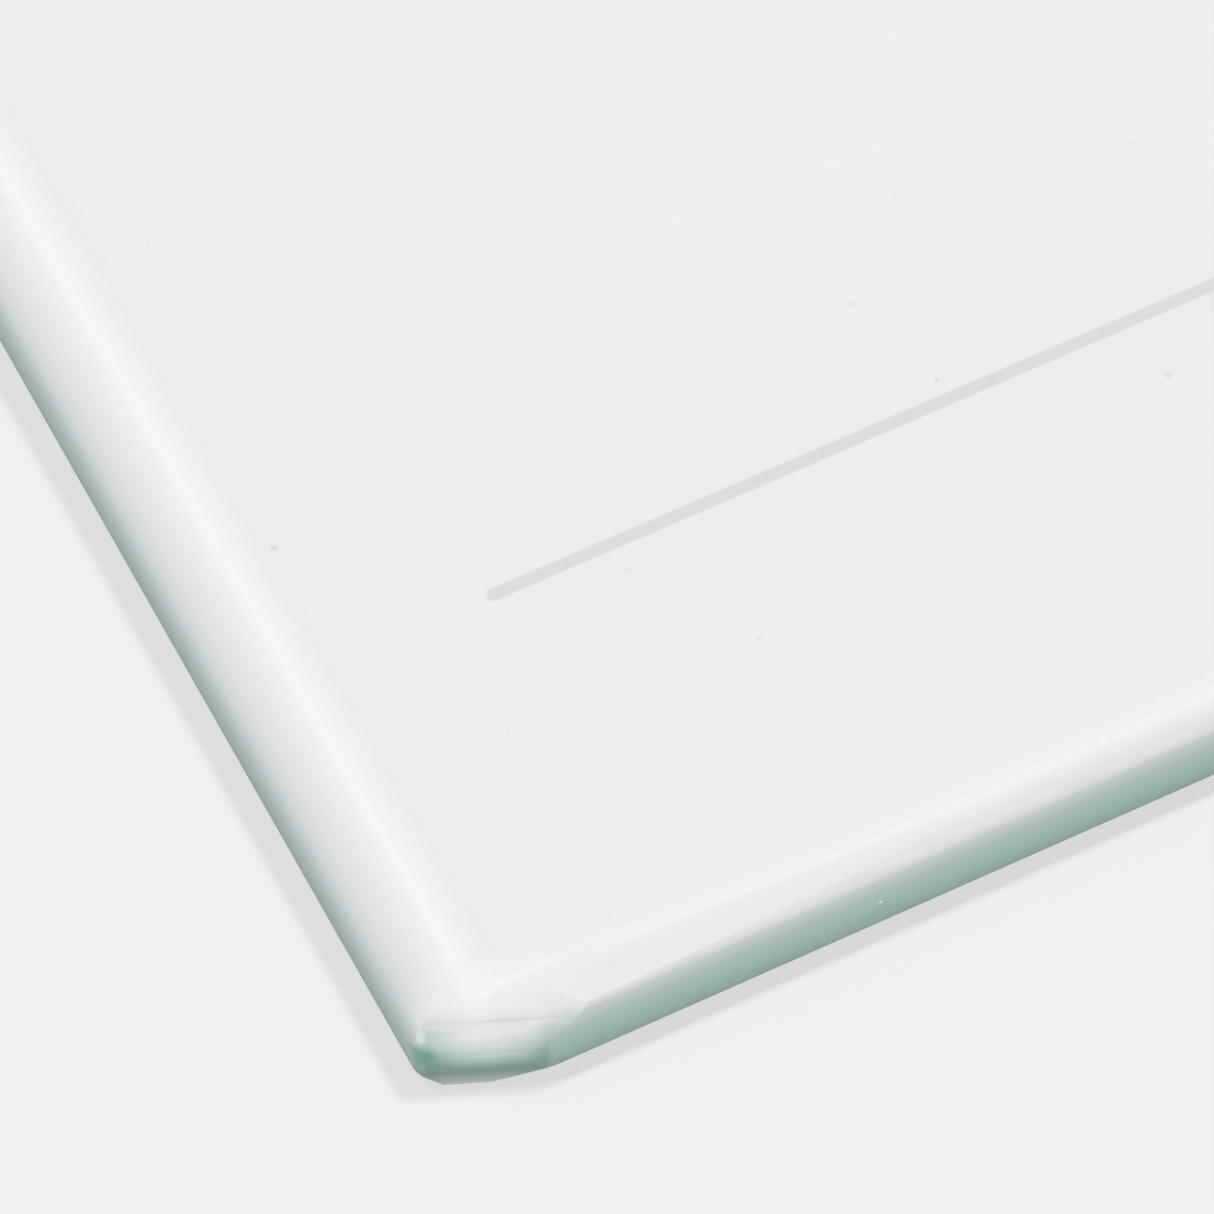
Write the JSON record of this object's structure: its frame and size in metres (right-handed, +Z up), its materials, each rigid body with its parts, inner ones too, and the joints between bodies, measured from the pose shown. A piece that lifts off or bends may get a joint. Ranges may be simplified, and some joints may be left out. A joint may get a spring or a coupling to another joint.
{
  "type": "hemocytometer",
  "caption": "Thick clear glass counting chamber slide with an H-shaped moat, ruled mirror films on raised platforms, engraved end lines and a lift-off cover glass.",
  "frame": {"origin": "centre of the slide's footprint, on the surface it rests on", "axes": "+X along the slide, +Y across it from the front platform to the rear one, +Z up through the cover glass"},
  "size_m": [0.075, 0.035, 0.0034],
  "materials": {
    "slide_glass": "polished faces and long edges, finely ground short ends and clipped corners, green in its depth",
    "cover_glass": "polished, nearly colourless",
    "mirror_film": "half-bright metal film with fine engraved ruling",
    "line_fill": "satin pale grey enamel"
  },
  "bodies": {
    "slide": {"chamber_slide": "slide_glass", "front_counting_film": "mirror_film", "rear_counting_film": "mirror_film", "left_end_line": "line_fill", "right_end_line": "line_fill"},
    "cover": {"cover_glass": "cover_glass"}
  },
  "joints": [
    {"name": "cover_glass_lift", "type": "slide", "parent": "slide", "child": "cover", "axis": [0, 0, 1], "range_m": [0, 0.012]}
  ]
}
